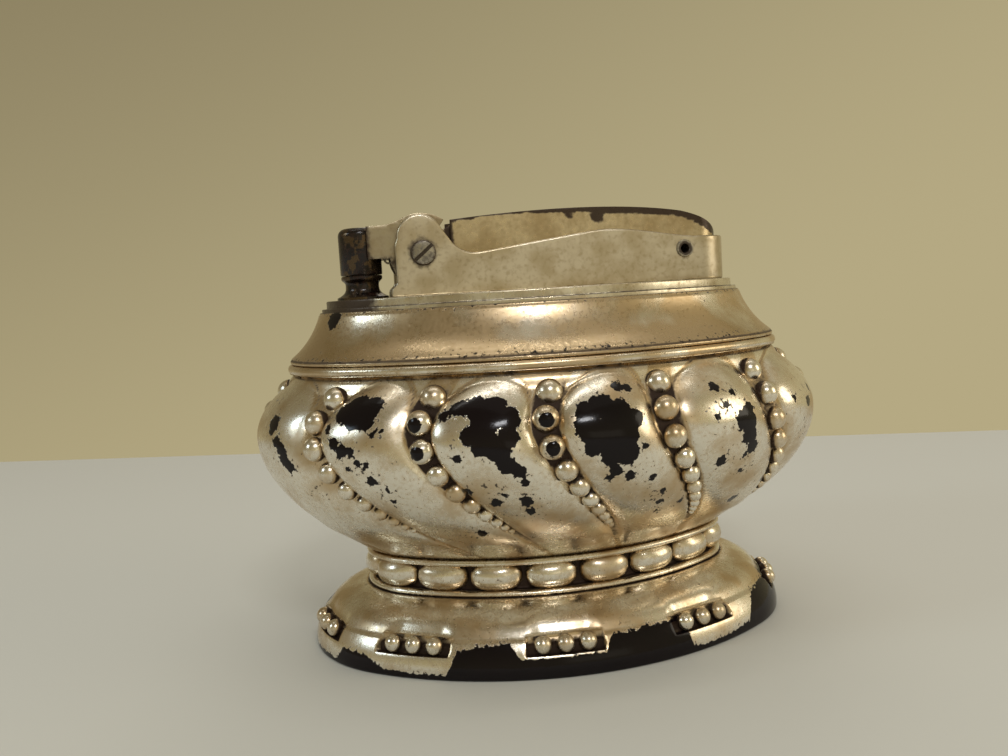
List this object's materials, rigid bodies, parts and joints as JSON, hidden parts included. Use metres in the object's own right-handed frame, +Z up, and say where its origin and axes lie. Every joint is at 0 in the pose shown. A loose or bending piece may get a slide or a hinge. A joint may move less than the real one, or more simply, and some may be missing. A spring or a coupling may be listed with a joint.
{
  "type": "table lighter",
  "caption": "Oval silver-plated table lighter: gadrooned and beaded bowl on a domed foot, with a lever-worked wick and flint mechanism on its top plate.",
  "frame": {"origin": "middle of the foot's resting plane, under the middle of the oval bowl", "axes": "+X along the length towards the lever's rivet, so the snuffer cap is at minus X; +Z up; minus Y is the side with the axle screw's head"},
  "size_m": [0.0829, 0.0608, 0.0613],
  "materials": {
    "silver_plate": "worn silver plate on white metal, tarnished in the grooves",
    "collar_plate": "satin worn silver plate",
    "top_plate_metal": "dull plated brass, lightly brushed",
    "lever_plate": "satin plated steel, brown tarnish along the edges",
    "frame_steel": "satin plated steel strip",
    "bright_steel": "turned steel",
    "hard_steel": "hardened dark steel",
    "burnt_metal": "heat-darkened brass with soot",
    "brass": "dull brass",
    "flint_alloy": "dull pressed flint",
    "cotton": "twisted and packed cotton",
    "fibre": "pressed fibre washer"
  },
  "bodies": {
    "base": {"foot": "silver_plate", "neck_band": "silver_plate", "bowl": "silver_plate", "collar": "collar_plate", "base_plate": "brass", "retaining_nut": "brass", "top_plate": "top_plate_metal", "fuel_tank": "brass", "cotton_packing": "cotton", "wick": "cotton", "burner": "burnt_metal", "frame": "frame_steel", "axle_screw": "bright_steel", "axle_bush": "brass", "lever_rivet": "bright_steel", "return_spring": "bright_steel", "flint_tube": "brass", "flint": "flint_alloy", "flint_follower": "brass", "flint_spring": "bright_steel"},
    "lever": {"thumb_lever": "lever_plate", "drive_pin": "bright_steel"},
    "snuffer": {"snuffer_arm": "lever_plate", "snuffer_cap": "burnt_metal", "pawl_spring": "bright_steel"},
    "pawl": {"pawl": "bright_steel"},
    "wheel": {"spark_wheel": "hard_steel", "ratchet_wheel": "hard_steel"},
    "filler": {"filler_screw": "brass", "filler_washer": "fibre"},
    "flint_plug": {"flint_screw": "brass"}
  },
  "joints": [
    {"name": "lever_press", "type": "hinge", "parent": "base", "child": "lever", "pos_m": [0.0224, 0, 0.0543], "axis": [0, -1, 0], "range_deg": [0, 9], "stiffness_Nm_per_rad": 0.02, "springref_deg": -8.59, "deforming": ["return_spring"]},
    {"name": "snuffer_lift", "type": "hinge", "parent": "base", "child": "snuffer", "pos_m": [-0.0163, 0, 0.0556], "axis": [0, 1, 0], "range_deg": [0, 45]},
    {"name": "wheel_turn", "type": "hinge", "parent": "base", "child": "wheel", "pos_m": [-0.0163, 0, 0.0556], "axis": [0, 1, 0], "range_deg": [0, 45]},
    {"name": "pawl_tilt", "type": "hinge", "parent": "snuffer", "child": "pawl", "pos_m": [-0.0209, 0.00185, 0.0553], "axis": [0, -1, 0], "range_deg": [0, 8], "stiffness_Nm_per_rad": 0.0005, "springref_deg": -11.46},
    {"name": "filler_out", "type": "slide", "parent": "base", "child": "filler", "axis": [0, 0, -1], "range_m": [0, 0.006]},
    {"name": "flint_screw_out", "type": "slide", "parent": "base", "child": "flint_plug", "axis": [0, 0, -1], "range_m": [0, 0.006]}
  ],
  "couplings": [
    {"joint": "snuffer_lift", "follows": "lever_press", "ratio": 5},
    {"joint": "wheel_turn", "follows": "lever_press", "ratio": 5}
  ]
}
